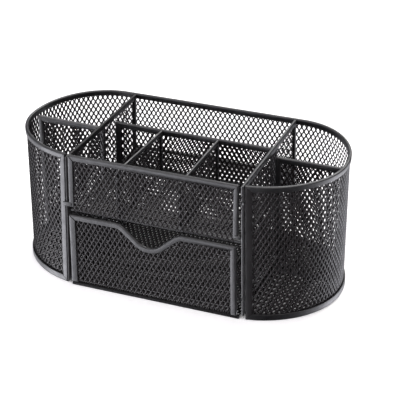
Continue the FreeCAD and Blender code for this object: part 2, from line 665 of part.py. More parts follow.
# ------------------------------------------------------------ check and write
doc.recompute()
for obj in doc.Objects:
    bad = [s for s in obj.State if s in ("Invalid", "Error")]
    if bad:
        raise RuntimeError("%s is %s" % (obj.Name, bad))
for obj in nodes:
    shape = obj.Shape
    if shape.isNull() or not shape.isValid() or len(shape.Solids) < 1:
        raise RuntimeError("%s has no valid solid" % obj.Label)

os.makedirs("parts", exist_ok=True)
for obj in nodes:
    obj.Shape.exportStep("parts/%s.step" % obj.Label)
    bb = obj.Shape.BoundBox
    print("%-26s %2d solid  %9.1f mm3  x %8.2f %8.2f  y %7.2f %7.2f  z %6.2f %6.2f" % (
        obj.Label, len(obj.Shape.Solids), obj.Shape.Volume, bb.XMin, bb.XMax, bb.YMin, bb.YMax, bb.ZMin, bb.ZMax))
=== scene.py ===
import math
import bpy
import numpy as np
from mathutils import Matrix, Vector


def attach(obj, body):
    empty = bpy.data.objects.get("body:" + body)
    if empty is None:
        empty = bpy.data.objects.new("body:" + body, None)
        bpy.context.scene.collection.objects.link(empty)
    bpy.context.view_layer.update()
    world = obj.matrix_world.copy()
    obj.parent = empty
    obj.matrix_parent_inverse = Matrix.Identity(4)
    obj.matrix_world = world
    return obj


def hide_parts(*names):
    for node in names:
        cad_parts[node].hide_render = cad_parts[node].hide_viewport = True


# Mesh desk organiser.  All shapes are worked out in millimetres in the CAD
# frame and turned into metres when a mesh is made.

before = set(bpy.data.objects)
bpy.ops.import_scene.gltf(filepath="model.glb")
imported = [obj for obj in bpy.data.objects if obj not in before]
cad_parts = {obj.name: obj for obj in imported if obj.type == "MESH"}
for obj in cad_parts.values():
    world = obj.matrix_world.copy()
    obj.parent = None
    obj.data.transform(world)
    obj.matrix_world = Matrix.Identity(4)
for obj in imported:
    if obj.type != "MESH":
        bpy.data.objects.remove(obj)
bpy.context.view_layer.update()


MM = 0.001
Z = np.array([0.0, 0.0, 1.0])


# ------------------------------------------------------------------ materials
def link(tree, a, b):
    tree.links.new(a, b)


def coat(name, dark, light, rough_lo, rough_hi, grain, grain_scale, shine=0.5):
    """Powder coat on steel: a fine orange-peel grain, cloudy gloss, and
    small paler flecks."""
    m = bpy.data.materials.new(name)
    m.use_nodes = True
    t = m.node_tree
    t.nodes.clear()
    out = t.nodes.new("ShaderNodeOutputMaterial")
    sh = t.nodes.new("ShaderNodeBsdfPrincipled")
    sh.inputs["Metallic"].default_value = 0.0
    sh.inputs["IOR"].default_value = 1.5
    sh.inputs["Specular IOR Level"].default_value = shine
    link(t, sh.outputs["BSDF"], out.inputs["Surface"])
    at = t.nodes.new("ShaderNodeTexCoord")

    def noise(scale, detail, rough, distortion=0.0):
        n = t.nodes.new("ShaderNodeTexNoise")
        n.inputs["Scale"].default_value = scale
        n.inputs["Detail"].default_value = detail
        n.inputs["Roughness"].default_value = rough
        n.inputs["Distortion"].default_value = distortion
        link(t, at.outputs["Object"], n.inputs["Vector"])
        return n

    def ramp(src, stops):
        r = t.nodes.new("ShaderNodeValToRGB")
        els = r.color_ramp.elements
        while len(els) < len(stops):
            els.new(0.5)
        for e, (p, c) in zip(els, stops):
            e.position = p
            e.color = c
        link(t, src, r.inputs["Fac"])
        return r

    cloud = noise(55.0, 4.0, 0.6)
    speck = noise(1700.0, 2.0, 0.5)
    base = ramp(cloud.outputs["Fac"], [(0.3, dark + (1.0,)), (0.72, light + (1.0,))])
    fleck = ramp(speck.outputs["Fac"], [(0.45, (0.82, 0.82, 0.82, 1.0)), (0.62, (1.3, 1.28, 1.27, 1.0))])
    mix = t.nodes.new("ShaderNodeMix")
    mix.data_type = "RGBA"
    mix.blend_type = "MULTIPLY"
    mix.inputs["Factor"].default_value = 1.0
    link(t, base.outputs["Color"], mix.inputs["A"])
    link(t, fleck.outputs["Color"], mix.inputs["B"])
    link(t, mix.outputs["Result"], sh.inputs["Base Color"])
    gloss = noise(140.0, 3.0, 0.55)
    span = t.nodes.new("ShaderNodeMapRange")
    span.inputs["From Min"].default_value = 0.3
    span.inputs["From Max"].default_value = 0.7
    span.inputs["To Min"].default_value = rough_lo
    span.inputs["To Max"].default_value = rough_hi
    link(t, gloss.outputs["Fac"], span.inputs["Value"])
    link(t, span.outputs["Result"], sh.inputs["Roughness"])
    peel = noise(grain_scale, 3.0, 0.55)
    wave = noise(190.0, 2.0, 0.5)
    b1 = t.nodes.new("ShaderNodeBump")
    b1.inputs["Strength"].default_value = grain
    b1.inputs["Distance"].default_value = 0.00012
    link(t, peel.outputs["Fac"], b1.inputs["Height"])
    b2 = t.nodes.new("ShaderNodeBump")
    b2.inputs["Strength"].default_value = 0.35
    b2.inputs["Distance"].default_value = 0.0005
    link(t, wave.outputs["Fac"], b2.inputs["Height"])
    link(t, b1.outputs["Normal"], b2.inputs["Normal"])
    link(t, b2.outputs["Normal"], sh.inputs["Normal"])
    return m


strip_coat = coat("strip_powder_coat", (0.0085, 0.0083, 0.0090), (0.0150, 0.0148, 0.0160), 0.29, 0.45, 0.5, 900.0)
mesh_coat = coat("mesh_powder_coat", (0.0072, 0.0058, 0.0063), (0.0130, 0.0103, 0.0114), 0.34, 0.50, 0.4, 1100.0, 0.28)
# Painted highlight: a paler, glossier copy of the strip coat, so the left end divider's frame reads as lit.
lit_strip_coat = coat("lit_strip_powder_coat", (0.0120, 0.0115, 0.0125), (0.0200, 0.0195, 0.0210), 0.30, 0.46, 0.5, 900.0, 0.9)
# Painted shade: a darker, less glossy copy of the strip coat, so the left wall's frame and the right end trim read as
# in shade.
shaded_strip_coat = coat("shaded_strip_powder_coat", (0.0064, 0.0057, 0.0062), (0.0112, 0.0100, 0.0108), 0.42, 0.58, 0.5, 900.0, 0.22)
# Painted shade: a near-black, rough, low-gloss copy of the coat, so the base front rail and the floor mesh read as
# lying in shadow under the drawer and the shell.
low_shade_coat = coat("low_shade_powder_coat", (0.0050, 0.0048, 0.0052), (0.0085, 0.0083, 0.0088), 0.62, 0.78, 0.5, 900.0, 0.15)


# ---------------------------------------------------------------- mesh making
def put(name, verts, faces, material, body, nodes, uv=None, sharp=38.0):
    """A mesh from millimetre points and a list of faces (arrays or lists).
    Rides on the body, stands for the CAD nodes."""
    me = bpy.data.meshes.new(name)
    sizes = np.concatenate([np.full(len(f), f.shape[1]) if isinstance(f, np.ndarray) else np.array([len(f)]) for f in faces])
    loops = np.concatenate([f.reshape(-1) if isinstance(f, np.ndarray) else np.array(f) for f in faces])
    starts = np.concatenate([[0], np.cumsum(sizes)[:-1]])
    me.vertices.add(len(verts))
    me.vertices.foreach_set("co", (np.asarray(verts, float) * MM).astype(np.float32).ravel())
    me.loops.add(len(loops))
    me.loops.foreach_set("vertex_index", loops.astype(np.int32))
    me.polygons.add(len(sizes))
    me.polygons.foreach_set("loop_start", starts.astype(np.int32))
    me.update(calc_edges=True)
    me.validate()
    if uv is not None:
        layer = me.uv_layers.new(name="OFBake")
        layer.data.foreach_set("uv", np.asarray(uv, np.float32).ravel())
    me.polygons.foreach_set("use_smooth", np.ones(len(me.polygons), bool))
    if sharp:
        me.set_sharp_from_angle(angle=math.radians(sharp))
    me.materials.append(material)
    me.update()
    o = bpy.data.objects.new(name, me)
    bpy.context.scene.collection.objects.link(o)
    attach(o, body)
    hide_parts(*nodes)
    return o


def unit(v):
    v = np.asarray(v, float)
    n = np.linalg.norm(v, axis=-1, keepdims=True)
    return v / np.maximum(n, 1e-12)


# ------------------------------------------------------------ expanded metal
def hole_corners(a, b, a1, b1):
    return np.array([(a, 0), (a1, b1), (0, b), (-a1, b1), (-a, 0), (-a1, -b1), (0, -b), (a1, -b1)], float)


RING = np.array([(2, 0), (1, 1), (0, 2), (-1, 1), (-2, 0), (-1, -1), (0, -2), (1, -1)])


def lattice(keep, place, low, high, cell, squeeze, thick=0.32, tilt=0.20, open_share=0.635, phase=(0.0, 0.0), flip=False,
            bend=None):
    """Diamond mesh over a field of (u, v), the long way of the diamonds along
    v.  keep(u, v) says which diamonds are made, squeeze(u, v) gathers what
    runs past an edge into the strip that holds it, place(u, v, t) gives the
    point at height t over the middle of the sheet, bend(u, v) lays the rows
    the way the stretching left them."""
    if bend is None:
        def bend(u, v):
            return u, v
    w, h = cell
    i0, i1 = int(math.floor((low[0] - phase[0]) / (w / 2))) - 2, int(math.ceil((high[0] - phase[0]) / (w / 2))) + 2
    j0, j1 = int(math.floor((low[1] - phase[1]) / (h / 2))) - 2, int(math.ceil((high[1] - phase[1]) / (h / 2))) + 2
    ii, jj = np.meshgrid(np.arange(i0, i1 + 1), np.arange(j0, j1 + 1), indexing="ij")
    pick = (ii + jj) % 2 == 0
    ii, jj = ii[pick], jj[pick]
    cu, cv = ii * w / 2 + phase[0], jj * h / 2 + phase[1]
    ring_u, ring_v = bend(cu[:, None] + RING[:, 0] * w / 4, cv[:, None] + RING[:, 1] * h / 4)
    wanted = keep(*bend(cu, cv), ring_u, ring_v)
    ii, jj, cu, cv = ii[wanted], jj[wanted], cu[wanted], cv[wanted]
    n = len(ii)
    kx = 2 * ii[:, None] + RING[:, 0]
    ky = 2 * jj[:, None] + RING[:, 1]
    key = (kx - kx.min()).astype(np.int64) * 100000 + (ky - ky.min())
    uniq, first, inv = np.unique(key.ravel(), return_index=True, return_inverse=True)
    outer = inv.reshape(n, 8)
    ou = (kx.ravel()[first]) * w / 4 + phase[0]
    ov = (ky.ravel()[first]) * h / 4 + phase[1]
    s = open_share
    shape = hole_corners(w / 2 * s, h / 2 * (s + 0.0), w / 4 * (s + 0.11), h / 4 * (s + 0.09))
    hu = (cu[:, None] + shape[:, 0]).ravel()
    hv = (cv[:, None] + shape[:, 1]).ravel()
    hole = len(uniq) + np.arange(n * 8).reshape(n, 8)
    u = np.concatenate([ou, hu])
    v = np.concatenate([ov, hv])
    u, v = bend(u, v)
    cu, cv = bend(cu, cv)
    lean = np.concatenate([np.zeros(len(ou)), np.tile(shape[:, 0] / (w / 2 * s) * tilt, n)])
    m = len(u)
    nxt = np.roll(np.arange(8), -1)
    top = np.stack([outer, outer[:, nxt], hole[:, nxt], hole], -1).reshape(-1, 4)
    bottom = np.stack([outer[:, nxt], outer, hole, hole[:, nxt]], -1).reshape(-1, 4) + m
    inner = np.stack([hole, hole[:, nxt], hole[:, nxt] + m, hole + m], -1).reshape(-1, 4)
    a, b = outer.ravel(), outer[:, nxt].ravel()
    tag = np.minimum(a, b).astype(np.int64) * m + np.maximum(a, b)
    _, back, count = np.unique(tag, return_inverse=True, return_counts=True)
    edge = count[back.ravel()] == 1
    rim = np.stack([b[edge], a[edge], a[edge] + m, b[edge] + m], -1)
    su, sv = squeeze(u, v)
    t = thick / 2
    pts = np.concatenate([place(su, sv, lean + t), place(su, sv, lean - t)])
    # a map for painting: the flat sheet, with the walls of the holes laid in the holes
    lo = np.array([u.min(), v.min()]) - 0.5
    hi = np.array([u.max(), v.max()]) + 0.5
    flat = (np.stack([u, v], -1) - lo) / (hi - lo)
    mid = (np.stack([np.repeat(cu, 8), np.repeat(cv, 8)], -1) - lo) / (hi - lo)
    deep = flat[len(uniq):] * 0.55 + mid * 0.45
    uv_top = flat[top]
    uv_bottom = flat[bottom - m]
    d = deep.reshape(n, 8, 2)
    f = flat[len(uniq):].reshape(n, 8, 2)
    uv_inner = np.stack([f, f[:, nxt], d[:, nxt], d], 2).reshape(-1, 4, 2)
    uv_rim = flat[np.where(rim >= m, rim - m, rim)].copy()
    uv_rim[:, 2:] += 0.2 / (hi - lo)
    faces = np.concatenate([top, bottom, inner, rim])
    uv = np.concatenate([uv_top, uv_bottom, uv_inner, uv_rim])
    if flip:
        faces = faces[:, ::-1]
        uv = uv[:, ::-1]
    return pts, [faces], uv, n


def gather(over, room):
    """How far a point that runs `over` past an edge ends up behind it."""
    p = np.maximum(over, 0.0)
    return np.where(over > 0, room * (1 - np.exp(-p / room)), over)


def half_plane_squeeze(poly, rooms):
    """Squeeze for a convex window: poly counter-clockwise, one room per side."""
    poly = np.asarray(poly, float)

    def squeeze(u, v):
        p = np.stack([u, v], -1).astype(float)
        for k in range(len(poly)):
            a, b = poly[k], poly[(k + 1) % len(poly)]
            d = unit(b - a)
            out = np.array([d[1], -d[0]])
            over = (p - a) @ out
            p = p + ((gather(over, rooms[k]) - over) * (over > 0))[:, None] * out
        return p[:, 0], p[:, 1]
    return squeeze


def inside_window(poly, margin=0.25):
    """Keep the diamonds that reach into a convex window."""
    poly = np.asarray(poly, float)

    def keep(cu, cv, ru, rv):
        ok = np.ones(ru.shape, bool)
        for k in range(len(poly)):
            a, b = poly[k], poly[(k + 1) % len(poly)]
            d = unit(b - a)
            out = np.array([d[1], -d[0]])
            ok &= (ru - a[0]) * out[0] + (rv - a[1]) * out[1] < margin
        return ok.any(axis=1)
    return keep


def ccw(poly):
    p = np.asarray(poly, float)
    area = 0.5 * np.sum(p[:, 0] * np.roll(p[:, 1], -1) - np.roll(p[:, 0], -1) * p[:, 1])
    return p if area > 0 else p[::-1]


# ---------------------------------------------------------------- strips
def u_section(band, width, gap=0.92, fold=None, floor=None, lip=0.24, taper=0.08, steps=5):
    """Section of a folded strip: s from the fold (0) to the free edges (band),
    t across.  Returns points and a weight that is 0 inside the slot."""
    half = width / 2
    r = min(0.46 * width, 0.95) if fold is None else fold
    floor = min(1.3, band * 0.45) if floor is None else floor
    leg = half - taper - gap / 2
    lip = min(lip, leg * 0.48)
    pts, wt = [], []

    def arc(cx, cy, rad, a0, a1, n):
        for k in range(n + 1):
            a = math.radians(a0 + (a1 - a0) * k / n)
            pts.append((cx + rad * math.cos(a), cy + rad * math.sin(a)))
            wt.append(1.0)
    # upper leg from slot to fold
    pts.append((floor, gap / 2)); wt.append(0.0)
    pts.append((band - lip, gap / 2)); wt.append(0.0)
    arc(band - lip, half - taper - lip, lip, 0, 90, 3)
    pts.append((band * 0.55, half - taper * 0.35)); wt.append(1.0)
    arc(r, half - r, r, 90, 180, steps)
    if half - r > 0.01:
        arc(r, -(half - r), r, 180, 270, steps)
    else:
        arc(r, -(half - r), r, 180 + 90.0 / steps, 270, steps - 1)
    pts.append((band * 0.55, -(half - taper * 0.35))); wt.append(1.0)
    arc(band - lip, -(half - taper - lip), lip, 270, 360, 3)
    pts.append((band - lip, -gap / 2)); wt.append(0.0)
    pts.append((floor, -gap / 2)); wt.append(0.0)
    p = np.array(pts)
    w = np.array(wt)
    d = unit(np.roll(p, -1, 0) - np.roll(p, 1, 0))
    nrm = np.stack([d[:, 1], -d[:, 0]], -1)
    c = p.mean(0)
    if np.sum((p - c) * nrm) < 0:
        nrm = -nrm
    return p, nrm * w[:, None]


def sweep(P, S, T, sections, closed=False):
    """Rings P + s*S + t*T joined to a closed skin.  sections: (n, m, 2)."""
    P, S, T = (np.asarray(x, float) for x in (P, S, T))
    n, m = sections.shape[0], sections.shape[1]
    ring = P[:, None, :] + sections[:, :, 0:1] * S[:, None, :] + sections[:, :, 1:2] * T[:, None, :]
    verts = ring.reshape(-1, 3)
    faces = []
    last = n if closed else n - 1
    i = np.arange(last)[:, None]
    j = np.arange(m)[None, :]
    i2 = (i + 1) % n
    j2 = (j + 1) % m
    quads = np.stack([i * m + j, i * m + j2, i2 * m + j2, i2 * m + j], -1).reshape(-1, 4)
    faces.append(quads)
    if not closed:
        faces.append(list(range(m))[::-1])
        faces.append(list(range((n - 1) * m, n * m)))
    tri = np.concatenate([quads[:, [0, 1, 2]], quads[:, [0, 2, 3]]])
    a, b, c = verts[tri[:, 0]], verts[tri[:, 1]], verts[tri[:, 2]]
    vol = np.sum(np.einsum("ij,ij->i", a - verts[0], np.cross(b - verts[0], c - verts[0])))
    if vol < 0:
        faces = [f[:, ::-1] if isinstance(f, np.ndarray) else f[::-1] for f in faces]
    return verts, faces


def join(parts):
    verts, faces, base = [], [], 0
    for v, fs in parts:
        verts.append(np.asarray(v, float))
        for f in fs:
            faces.append(f + base if isinstance(f, np.ndarray) else [i + base for i in f])
        base += len(v)
    return np.concatenate(verts), faces


GROOVE, SEAM = 0.10, 0.16


def strip_path(place, pts, bands, width, closed, seams, inward, caps_in=0.08, gap=0.92, open_seams=(), **section_args):
    """A folded strip along a flat path of (a, b) points.  bands: face width of
    each segment.  seams: indexes of the corners that show a mitre seam,
    open_seams: those whose mitre gapes.
    inward: +1 if the strip's free edges lie to the left of the path."""
    pts = np.asarray(pts, float)
    n = len(pts)
    segs = n if closed else n - 1
    d = unit(np.roll(pts, -1, 0) - pts)[:segs]
    nrm = np.stack([-d[:, 1], d[:, 0]], -1) * inward
    bands = np.broadcast_to(np.asarray(bands, float), (segs,))
    ref = float(np.mean(bands))
    base, bn = u_section(ref, width, gap=gap, **section_args)
    P, S, sec = [], [], []

    def corner(k):
        if closed or 0 < k < n - 1:
            a, b = (k - 1) % segs, k % segs
            A = np.array([nrm[a], nrm[b]])
            if abs(np.linalg.det(A)) < 1e-6:
                return nrm[b] * bands[b]
            return np.linalg.solve(A, np.array([bands[a], bands[b]]))
        return nrm[0] * bands[0] if k == 0 else nrm[-1] * bands[-1]

    def add(p, m, shrink=0.0):
        P.append(p)
        S.append(m / ref)
        sec.append(base - bn * shrink)
    for k in range(n):
        m = corner(k)
        if not closed and k == 0:
            add(pts[0], m, caps_in)
            add(pts[0] + d[0] * caps_in, m)
        elif not closed and k == n - 1:
            add(pts[-1] - d[-1] * caps_in, m)
            add(pts[-1], m, caps_in)
        elif k in seams:
            half, deep = (0.5, 0.62) if k in open_seams else (SEAM, GROOVE)
            add(pts[k] - d[(k - 1) % segs] * half, m)
            add(pts[k], m, deep)
            add(pts[k] + d[k % segs] * half, m)
        else:
            add(pts[k], m)
    P, S, sec = np.array(P), np.array(S), np.array(sec)
    nr = len(P)
    zero = np.zeros(nr)
    origin = place(zero, zero, zero)
    P3 = place(P[:, 0], P[:, 1], zero)
    S3 = place(S[:, 0], S[:, 1], zero) - origin
    T3 = place(zero, zero, zero + 1.0) - origin
    return sweep(P3, S3, T3, sec, closed)


# --------------------------------------------------------------- dimensions
SHIFT = 0.45
THETA = math.radians(1.206)


def wall_place(sgn):
    def place(a, b, t):
        a, b, t = np.asarray(a, float), np.asarray(b, float), np.asarray(t, float)
        x = sgn * 61.7 - 0.2 - sgn * b * math.sin(THETA) + t * math.cos(THETA)
        z = b * math.cos(THETA) + sgn * t * math.sin(THETA)
        return np.stack([x, a + SHIFT, z], -1)
    return place


def left_wall_place(a, b, t):
    """The left wall leans and is turned a little, so it has a full rotation."""
    turn = Matrix.Rotation(math.radians(1.7013), 3, Vector((0.0, 1.206, -1.2)).normalized())
    m = np.array([list(row) for row in turn])
    p = np.stack([np.asarray(t, float), np.asarray(a, float), np.asarray(b, float)], -1)
    return p @ m.T + np.array([-60.77, SHIFT, 0.0])


def front_place(zero, lean, dx=0.0):
    lam = math.radians(lean)

    def place(a, b, t):
        a, b, t = np.asarray(a, float), np.asarray(b, float), np.asarray(t, float)
        return np.stack([a + dx, zero + SHIFT + b * math.sin(lam) - t * math.cos(lam), b * math.cos(lam) + t * math.sin(lam)], -1)
    return place


def turned_across_place(x, y, turn):
    c, s = math.cos(math.radians(turn)), math.sin(math.radians(turn))

    def place(a, b, t):
        a, b, t = np.asarray(a, float), np.asarray(b, float), np.asarray(t, float)
        return np.stack([x + a * c + t * s, y + SHIFT + a * s - t * c, b], -1)
    return place


def across_place(y):
    def place(a, b, t):
        a, b, t = np.asarray(a, float), np.asarray(b, float), np.asarray(t, float)
        return np.stack([a, y + SHIFT - t, b], -1)
    return place


def divider_place(x, mid, turn):
    c, s = math.cos(math.radians(turn)), math.sin(math.radians(turn))

    def place(a, b, t):
        a, b, t = np.asarray(a, float) - mid, np.asarray(b, float), np.asarray(t, float)
        return np.stack([x + t * c + a * s, mid + SHIFT - t * s + a * c, b], -1)
    return place


def flat_place(z, dx=0.0):
    def place(a, b, t):
        a, b, t = np.asarray(a, float), np.asarray(b, float), np.asarray(t, float)
        return np.stack([a + dx, b + SHIFT, z + t], -1)
    return place


def side_place(x, inward):
    """A sheet that stands along Y."""
    def place(a, b, t):
        a, b, t = np.asarray(a, float), np.asarray(b, float), np.asarray(t, float)
        return np.stack([x + t * inward, a + SHIFT, b], -1)
    return place


FACE_CELL = (3.38, 5.68)
SHELL_CELL = (3.42, 5.80)


def panel(stem, place, outer, bands, width, body, seams=(0, 1, 2, 3), cell=FACE_CELL, seed=1.0, flip=False,
          phase=(0.0, 0.0), drift=0.10, gap=0.92, frame_coat=None):
    """A framed mesh panel with four sides."""
    outer = ccw(outer)
    n = len(outer)
    bands = [float(b) for b in bands]
    fr = strip_path(place, outer, bands, width, True, set(seams), 1, gap=gap)
    put(stem + "_frame_skin", fr[0], fr[1], frame_coat or strip_coat, body, [stem + "_frame"])
    win = window_of(outer, bands)
    rooms = [b - 1.55 for b in bands]
    pts, faces, uv, count = lattice(inside_window(win), place, win.min(0) - 4, win.max(0) + 4, cell,
                                    drifted(half_plane_squeeze(win, rooms), drift, seed), flip=flip, phase=phase,
                                    tilt=0.20)
    put(stem + "_mesh_skin", pts, faces, mesh_coat, body, [stem + "_mesh"], uv=uv, sharp=None)


def drifted(squeeze, amount, seed):
    p1, p2 = math.sin(seed * 12.9) * 3.0, math.cos(seed * 7.7) * 3.0

    def moved(u, v):
        du = amount * (np.sin(v / 17.0 + p1) + 0.5 * np.sin((u + v) / 29.0 + p2))
        dv = amount * (np.sin(u / 23.0 + p2) + 0.6 * np.sin((u - v) / 31.0 + p1))
        return squeeze(u + du, v + dv)
    return moved


def window_of(outer, bands):
    """The opening of a frame: each side moved in by its band."""
    n = len(outer)
    d = unit(np.roll(outer, -1, 0) - outer)
    nrm = np.stack([-d[:, 1], d[:, 0]], -1)
    out = []
    for k in range(n):
        a, b = (k - 1) % n, k
        m = np.linalg.solve(np.array([nrm[a], nrm[b]]), np.array([bands[a], bands[b]]))
        out.append(outer[k] + m)
    return np.array(out)


def nugget(place, a, b, front, radius, high):
    """A weld spot on the front edge of a wall: a low ring with a dimple."""
    prof = [(0.0, 0.42), (0.30, 0.40), (0.52, 0.85), (0.74, 1.0), (0.92, 0.72), (1.0, 0.0), (1.0, -0.8), (0.0, -0.8)]
    n = 16
    ang = 2 * math.pi * np.arange(n) / n
    verts, faces = [(a - prof[0][1] * high, b, 0.0)], []
    for r, h in prof[1:-1]:
        verts += [(a - h * high, b + radius * r * math.cos(k), radius * r * math.sin(k)) for k in ang]
    verts.append((a - prof[-1][1] * high, b, 0.0))
    rows = len(prof) - 2
    for k in range(n):
        k2 = (k + 1) % n
        faces.append([0, 1 + k, 1 + k2])
        for j in range(rows - 1):
            faces.append([1 + j * n + k, 1 + (j + 1) * n + k, 1 + (j + 1) * n + k2, 1 + j * n + k2])
        faces.append([len(verts) - 1, 1 + (rows - 1) * n + k2, 1 + (rows - 1) * n + k])
    v = np.array(verts)
    pts = place(v[:, 0], v[:, 1], v[:, 2])
    tri = np.array([[f[0], f[i], f[i + 1]] for f in faces for i in range(1, len(f) - 1)])
    p = pts - pts.mean(0)
    if np.sum(np.einsum("ij,ij->i", p[tri[:, 0]], np.cross(p[tri[:, 1]], p[tri[:, 2]]))) < 0:
        faces = [f[::-1] for f in faces]
    return pts, faces


# ------------------------------------------------------------- cross walls
for side, sgn in (("left", -1.0), ("right", 1.0)):
    place = left_wall_place if side == "left" else wall_place(sgn)
    foot, high = (2.0, 93.5) if side == "left" else (3.2, 95.0)
    path = [(-54.0, foot), (-52.2, high), (51.1, 95.0), (51.1, 2.4), (-50.6, 2.4)]
    fr = strip_path(place, path, 3.7, 2.0, False, {1, 2, 3}, -1, gap=0.88)
    if side == "right":
        fr = join([fr] + [nugget(place, -54.0 + 1.8 * b / 95.0, b, 0.0, r, h) for b, r, h in
                          ((83.4, 1.45, 0.45), (87.4, 0.8, 0.35), (79.8, 0.75, 0.35), (15.0, 0.9, 0.40))])
    # the left wall's frame wears the painted-shade copy of the strip coat
    put(side + "_wall_frame_skin", fr[0], fr[1], shaded_strip_coat if side == "left" else strip_coat, "root", [side + "_wall_frame"])
    outer = ccw([(-53.97, 2.4), (-52.2, high), (51.1, 95.0), (51.1, 2.4)])
    win = window_of(outer, [3.7] * 4)
    pts, faces, uv, count = lattice(inside_window(win), place, win.min(0) - 4, win.max(0) + 4, FACE_CELL,
                                    drifted(half_plane_squeeze(win, [2.1] * 4), 0.12, 2.0 + sgn), phase=(0.4 * sgn, 1.1))
    put(side + "_wall_mesh_skin", pts, faces, mesh_coat, "root", [side + "_wall_mesh"], uv=uv, sharp=None)

# -------------------------------------------------------------- middle wall
panel("middle_wall", across_place(17.3), [(-58.1, 55.65), (59.0, 55.65), (58.3, 88.5), (-57.45, 88.5)],
      [3.0, 4.3, 3.7, 4.3], 2.4, "root", seed=3.0)

# ----------------------------------------------------------- small dividers
for side, x, mid, turn in (("left", -24.2, -17.2, 2.5), ("right", 17.6, 0.0, 0.0)):
    panel(side + "_divider", divider_place(x, mid, turn), [(-51.0, 55.65), (16.0, 55.65), (16.0, 88.5), (-50.2, 88.5)],
          [3.0] * 4, 1.8, "root", seed=4.0 + x / 50.0, gap=0.84)

# ------------------------------------------------------------- end dividers
# the left end divider's frame wears the painted-highlight copy of the strip coat
panel("left_end_divider", turned_across_place(-59.95, 6.3, 3.86),
      [(0.0, 88.5), (-49.05, 91.1), (-48.05, 2.4), (-1.8, 2.4)], [3.7] * 4, 2.4, "root", seed=5.0, frame_coat=lit_strip_coat)
panel("right_end_divider", across_place(6.3),
      [(61.2, 88.5), (109.0, 88.5), (108.0, 2.4), (63.0, 2.4)], [3.7] * 4, 2.4, "root", seed=7.0)

# -------------------------------------------------------------------- shelf
panel("shelf", flat_place(54.6), [(-59.2, -51.0), (59.2, -51.0), (59.2, 52.3), (-57.2, 52.3)],
      [3.0] * 4, 2.0, "root", seed=8.0, cell=FACE_CELL, gap=0.88)

# -------------------------------------------------------------- front panel
panel_place = front_place(-53.77, 1.43)
path = [(-59.15, 58.5), (-58.75, 95.2), (57.4, 95.2), (57.4, 58.5)]
fr = strip_path(panel_place, path, [3.6, 3.7, 3.3], 2.4, False, {1, 2}, -1, open_seams={1})


def bar(place, a0, a1, b0, b1, t0, t1, r=0.35, steps=3):
    """A short rounded bar along a."""
    pts = []
    for cb, ct, s0 in ((b1 - r, t1 - r, 0), (b0 + r, t1 - r, 90), (b0 + r, t0 + r, 180), (b1 - r, t0 + r, 270)):
        for k in range(steps + 1):
            ang = math.radians(s0 + 90.0 * k / steps)
            pts.append((cb + r * math.cos(ang), ct + r * math.sin(ang)))
    sec = np.array(pts)
    c = sec.mean(0)
    rings, at = [], []
    for a, k in ((a0, 0.72), (a0 + 0.12, 0.93), (a0 + 0.3, 1.0), (a1 - 0.3, 1.0), (a1 - 0.12, 0.93), (a1, 0.72)):
        shrink = np.array([(b1 - b0) / 2 * (1 - k), (t1 - t0) / 2 * (1 - k)])
        rings.append(c + (sec - c) * (1 - shrink / np.array([(b1 - b0) / 2, (t1 - t0) / 2])))
        at.append(a)
    at = np.array(at)
    zero = np.zeros(len(at))
    o = place(zero, zero, zero)
    return sweep(place(at, zero, zero), place(zero, zero + 1.0, zero) - o, place(zero, zero, zero + 1.0) - o, np.array(rings))


tabs = [bar(panel_place, -63.2, -57.0, 58.5, 61.5, 0.62, 1.40, r=0.33), bar(panel_place, 55.2, 58.9, 58.5, 60.5, 0.62, 1.50, r=0.38)]
v, f = join([fr] + tabs)
put("front_panel_frame_skin", v, f, strip_coat, "root", ["front_panel_frame"])
win = np.array([(-55.55, 56.1), (54.1, 56.1), (54.1, 91.5), (-55.15, 91.5)])
pts, faces, uv, count = lattice(inside_window(win), panel_place, win.min(0) - 4, win.max(0) + 4, FACE_CELL,
                                drifted(half_plane_squeeze(win, [0.5, 2.0, 2.1, 2.2]), 0.12, 9.0), phase=(0.6, 0.9),
                                bend=lambda u, v: (u - 0.022 * (v - 75.0), v))
put("front_panel_mesh_skin", pts, faces, mesh_coat, "root", ["front_panel_mesh"], uv=uv, sharp=None)

# ------------------------------------------------------------- drawer front
DX = -1.2
drawer_place = front_place(-53.75, 1.0, DX)
DIP_X, DIP_HALF, DIP_DEEP, SLOPE, R1, R2, TOP = -1.6, 23.5, 13.5, math.radians(41.0), 10.3, 11.0, 52.6


def wave_points(inset=0.0, n=14):
    """The drawer front's upper edge from left to right."""
    top, r1, r2 = TOP - inset, R1 - inset, R2 + inset
    low = TOP - DIP_DEEP - inset
    out = []
    sx = DIP_X - DIP_HALF
    for k in range(n + 1):
        a = SLOPE * k / n
        out.append((sx + r1 * math.sin(a), top - r1 + r1 * math.cos(a)))
    for k in range(2 * n + 1):
        a = -SLOPE + 2 * SLOPE * k / (2 * n)
        out.append((DIP_X + r2 * math.sin(a), low + r2 - r2 * math.cos(a)))
    sx = DIP_X + DIP_HALF
    for k in range(n + 1):
        a = -SLOPE + SLOPE * k / n
        out.append((sx + r1 * math.sin(a), top - r1 + r1 * math.cos(a)))
    return out


path = [(-58.25, 2.7), (-58.25, TOP)] + wave_points() + [(57.6, TOP), (58.85, 2.7)]
bands = [4.5] + [3.5] * (len(path) - 3) + [3.9]
fr = strip_path(drawer_place, path, bands, 2.4, False, {1, len(path) - 2}, -1, open_seams={1})
put("drawer_front_frame_skin", fr[0], fr[1], strip_coat, "drawer", ["drawer_front_frame"])

wave_line = np.array([(-64.0, TOP)] + wave_points(0.0, 24) + [(64.0, TOP)])


